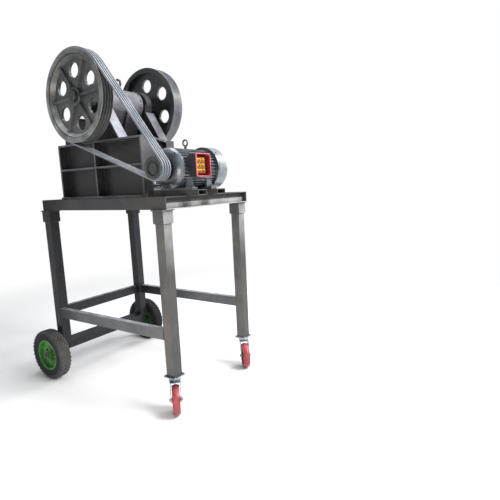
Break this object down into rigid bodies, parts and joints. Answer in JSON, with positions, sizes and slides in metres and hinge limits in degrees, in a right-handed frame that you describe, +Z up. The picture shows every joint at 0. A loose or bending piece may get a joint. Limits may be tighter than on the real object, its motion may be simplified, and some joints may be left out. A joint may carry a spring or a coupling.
{
  "type": "belt-driven jaw crusher on a wheeled stand",
  "caption": "Jaw crusher with belt wheel, flywheel and electric motor, on a tall channel-frame stand with two road wheels and two swivel castors.",
  "frame": {"origin": "on the floor under the middle of the machine's box", "axes": "+X from the feed end to the motor end, +Y along the shafts away from the belt side, +Z up"},
  "size_m": [1.6275, 1.16, 2.4878],
  "materials": {
    "stand_paint": "satin dark grey paint",
    "crusher_paint": "satin charcoal paint",
    "pitman_paint": "mid grey paint, smooth",
    "wheel_paint": "grey green paint over casting",
    "jaw_steel": "cast manganese steel",
    "cast_grey": "as cast",
    "bright_steel": "bright turned steel",
    "zinc": "zinc plated",
    "castor_red": "red polyurethane",
    "tyre": "matt dark rubber",
    "rim_green": "green paint",
    "motor_paint": "grey blue paint",
    "shield_paint": "dark grey green paint",
    "cover_paint": "grey paint on pressed sheet",
    "fan_plastic": "black",
    "box_black": "black outside, red oxide inside",
    "terminal_brass": "brass studs on a block",
    "belt_rubber": "dusty grey rubber"
  },
  "bodies": {
    "base": {"frame_sides": "stand_paint", "frame_ends": "stand_paint", "cross_members": "stand_paint", "legs": "stand_paint", "leg_sockets": "stand_paint", "lower_rails": "stand_paint", "axle_beam": "stand_paint", "axle_brackets": "stand_paint", "axle": "bright_steel", "castor_plates": "zinc", "side_plate_near": "crusher_paint", "side_plate_far": "crusher_paint", "front_wall": "crusher_paint", "rear_wall": "crusher_paint", "fixed_jaw": "jaw_steel", "swing_jaw": "jaw_steel", "cheek_plates": "jaw_steel", "pitman": "pitman_paint", "toggle_plate": "cast_grey", "toggle_block": "crusher_paint", "tension_rod": "bright_steel", "tension_spring": "bright_steel", "bearing_near": "crusher_paint", "bearing_far": "crusher_paint", "drive_belts": "belt_rubber", "motor_frame": "motor_paint", "motor_shields": "shield_paint", "fan_cover": "cover_paint", "terminal_box": "box_black", "terminal_block": "terminal_brass", "slide_rails": "stand_paint", "pitman_eye": "pitman_paint", "motor_eye": "motor_paint"},
    "crusher_rotor": {"eccentric_shaft": "bright_steel", "sheave": "wheel_paint", "flywheel": "wheel_paint"},
    "motor_rotor": {"motor_shaft": "bright_steel", "motor_pulley": "wheel_paint", "motor_fan": "fan_plastic"},
    "road_wheel_near": {"tyre_near": "tyre", "rim_near": "rim_green"},
    "road_wheel_far": {"tyre_far": "tyre", "rim_far": "rim_green"},
    "castor_near": {"castor_fork_near": "zinc"},
    "castor_far": {"castor_fork_far": "zinc"},
    "castor_roller_near": {"castor_wheel_near": "castor_red"},
    "castor_roller_far": {"castor_wheel_far": "castor_red"}
  },
  "joints": [
    {"name": "crusher_spin", "type": "hinge", "parent": "base", "child": "crusher_rotor", "pos_m": [-0.11425, -0.026, 2.161], "axis": [0, 1, 0], "continuous": true},
    {"name": "motor_spin", "type": "hinge", "parent": "base", "child": "motor_rotor", "pos_m": [0.60775, -0.2, 1.624], "axis": [0, 1, 0], "continuous": true},
    {"name": "road_wheel_near_spin", "type": "hinge", "parent": "base", "child": "road_wheel_near", "pos_m": [-0.61375, -0.515, 0.2], "axis": [0, 1, 0], "continuous": true},
    {"name": "road_wheel_far_spin", "type": "hinge", "parent": "base", "child": "road_wheel_far", "pos_m": [-0.61375, 0.515, 0.2], "axis": [0, 1, 0], "continuous": true},
    {"name": "castor_near_swivel", "type": "hinge", "parent": "base", "child": "castor_near", "pos_m": [0.64875, -0.4185, 0.23], "axis": [0, 0, 1], "continuous": true},
    {"name": "castor_near_roll", "type": "hinge", "parent": "castor_near", "child": "castor_roller_near", "pos_m": [0.68904, -0.46022, 0.1], "axis": [0.7193, 0.6947, 0], "continuous": true},
    {"name": "castor_far_swivel", "type": "hinge", "parent": "base", "child": "castor_far", "pos_m": [0.64875, 0.4185, 0.23], "axis": [0, 0, 1], "continuous": true},
    {"name": "castor_far_roll", "type": "hinge", "parent": "castor_far", "child": "castor_roller_far", "pos_m": [0.68904, 0.37678, 0.1], "axis": [0.7193, 0.6947, 0], "continuous": true}
  ],
  "couplings": [
    {"joint": "motor_spin", "follows": "crusher_spin", "ratio": 4.4507}
  ]
}
